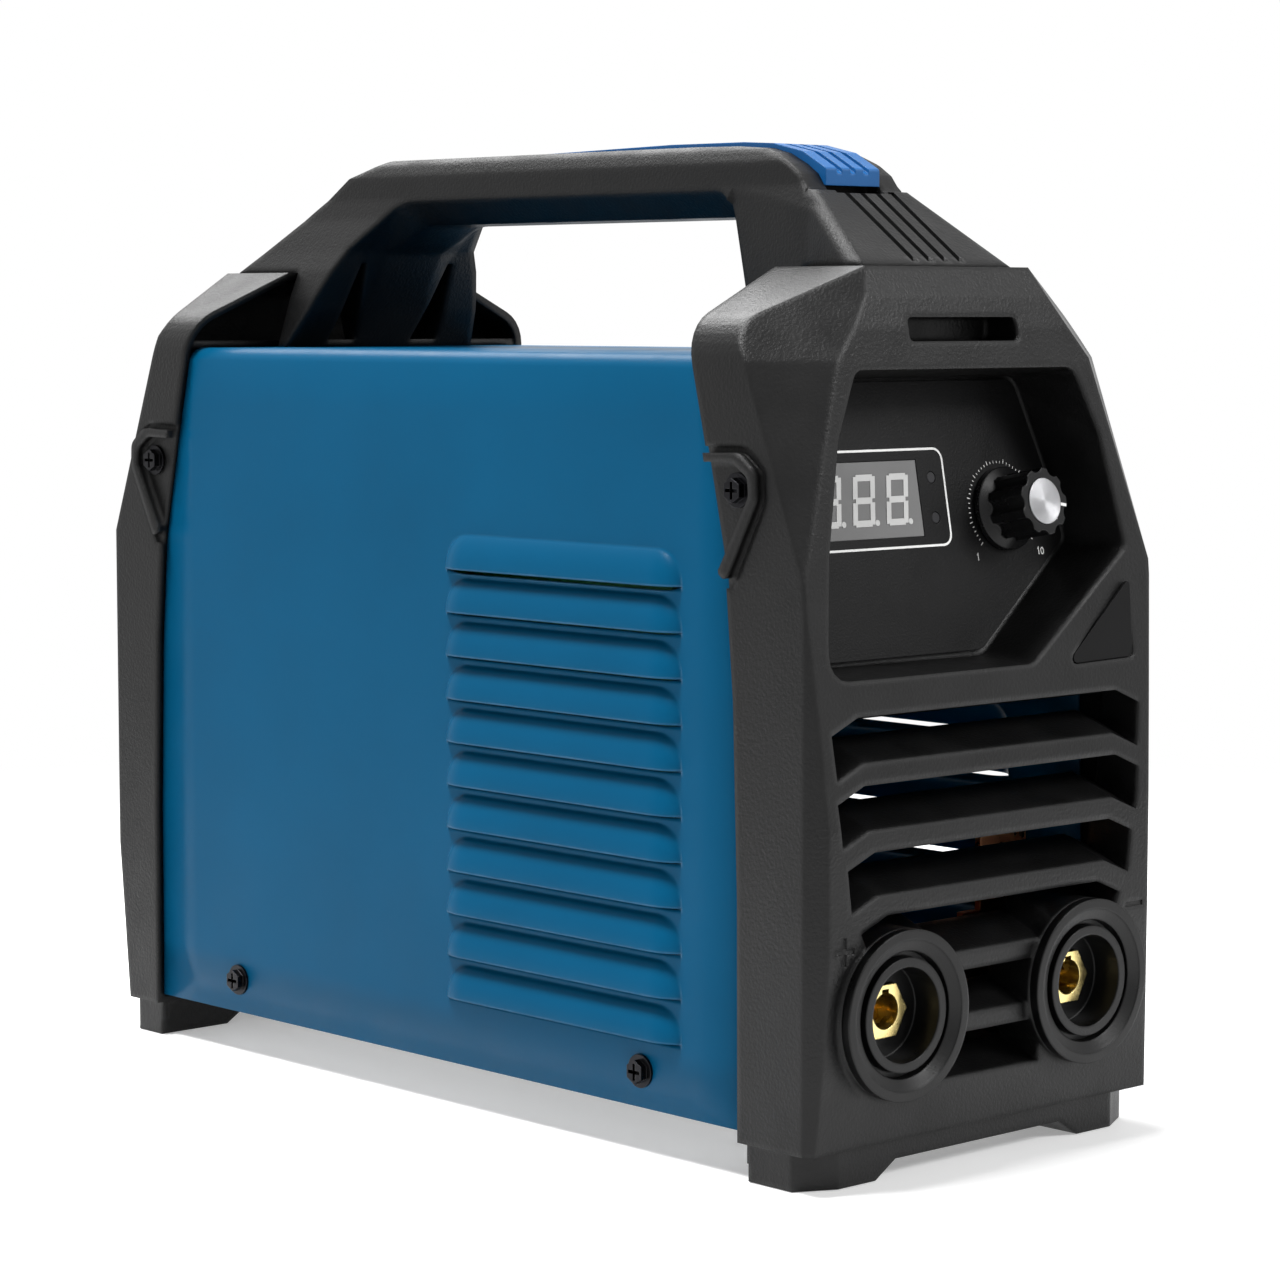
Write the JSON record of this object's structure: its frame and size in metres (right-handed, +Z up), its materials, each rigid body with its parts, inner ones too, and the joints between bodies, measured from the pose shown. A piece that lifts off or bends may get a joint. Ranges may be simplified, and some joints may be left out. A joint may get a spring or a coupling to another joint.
{
  "type": "inverter arc welding machine",
  "caption": "Portable inverter arc welder: louvred steel cover between plastic end bezels, carrying handle, display with current knob and twist-lock weld sockets.",
  "frame": {"origin": "on the ground under the middle of the machine", "axes": "+X to the right as seen from behind the front panel's user side (knob side), +Y from front panel to rear panel, +Z up"},
  "size_m": [0.134, 0.311, 0.262],
  "materials": {
    "bezel_plastic": "fine grained moulding",
    "handle_plastic": "fine grained moulding",
    "blue_coat": "satin powder coat",
    "zinc_sheet": "zinc plated",
    "grip_rubber": "soft satin",
    "black_screw": "black zinc",
    "panel_film": "printed film, semi-gloss",
    "badge_film": "semi-gloss",
    "display_grey": "satin",
    "digit_white": "diffusing",
    "lamp_lens": "diffusing",
    "board_green": "solder mask",
    "plated_part": "nickel plated",
    "knob_plastic": "fine grained",
    "spun_alloy": "spun",
    "socket_plastic": "fine grained",
    "contact_brass": "turned",
    "copper_strap": "bare copper",
    "sink_alloy": "extruded",
    "black_epoxy": "moulded",
    "ferrite": "sintered",
    "enamel_wire": "enamelled copper",
    "ring_core": "lacquered",
    "capacitor_sleeve": "shrunk sleeve",
    "relay_case": "moulded",
    "fan_plastic": "moulded",
    "switch_plastic": "moulded",
    "gland_nylon": "nylon"
  },
  "bodies": {
    "machine": {"front_bezel": "bezel_plastic", "rear_bezel": "bezel_plastic", "cover": "blue_coat", "base_tray": "zinc_sheet", "carry_handle": "handle_plastic", "grip_insert": "grip_rubber", "handle_screws": "black_screw", "bezel_screws": "black_screw", "cover_screws": "black_screw", "tray_screws": "black_screw", "control_panel": "panel_film", "badge_plate": "badge_film", "display_module": "display_grey", "display_digits": "digit_white", "status_lamps": "lamp_lens", "control_board": "board_green", "potentiometer": "plated_part", "potentiometer_nut": "plated_part", "positive_socket": "socket_plastic", "negative_socket": "socket_plastic", "positive_contact": "contact_brass", "negative_contact": "contact_brass", "socket_nuts": "contact_brass", "positive_busbar": "copper_strap", "negative_busbar": "copper_strap", "main_board": "board_green", "board_brackets": "zinc_sheet", "inverter_heatsink": "sink_alloy", "output_heatsink": "sink_alloy", "power_transistors": "black_epoxy", "output_rectifiers": "black_epoxy", "transformer_core": "ferrite", "transformer_winding": "enamel_wire", "choke_core": "ring_core", "choke_winding": "enamel_wire", "bus_capacitors": "capacitor_sleeve", "bridge_rectifier": "black_epoxy", "soft_start_relay": "relay_case", "fan_frame": "fan_plastic", "fan_screws": "plated_part", "switch_housing": "switch_plastic", "cable_gland": "gland_nylon", "gland_nut": "gland_nylon", "gland_locknut": "gland_nylon"},
    "knob": {"current_knob": "knob_plastic", "knob_cap": "spun_alloy", "knob_shaft": "plated_part"},
    "rocker": {"switch_rocker": "switch_plastic"},
    "fan_wheel": {"fan_rotor": "fan_plastic"}
  },
  "joints": [
    {"name": "knob_turn", "type": "hinge", "parent": "machine", "child": "knob", "pos_m": [0.0296, -0.126, 0.165], "axis": [0, -0.9833, 0.1822], "range_deg": [-36, 234]},
    {"name": "rocker_tip", "type": "hinge", "parent": "machine", "child": "rocker", "pos_m": [0.022, 0.1275, 0.166], "axis": [1, 0, 0], "range_deg": [-18, 0]},
    {"name": "fan_spin", "type": "hinge", "parent": "machine", "child": "fan_wheel", "pos_m": [0, 0.1125, 0.068], "axis": [0, 1, 0], "continuous": true}
  ]
}
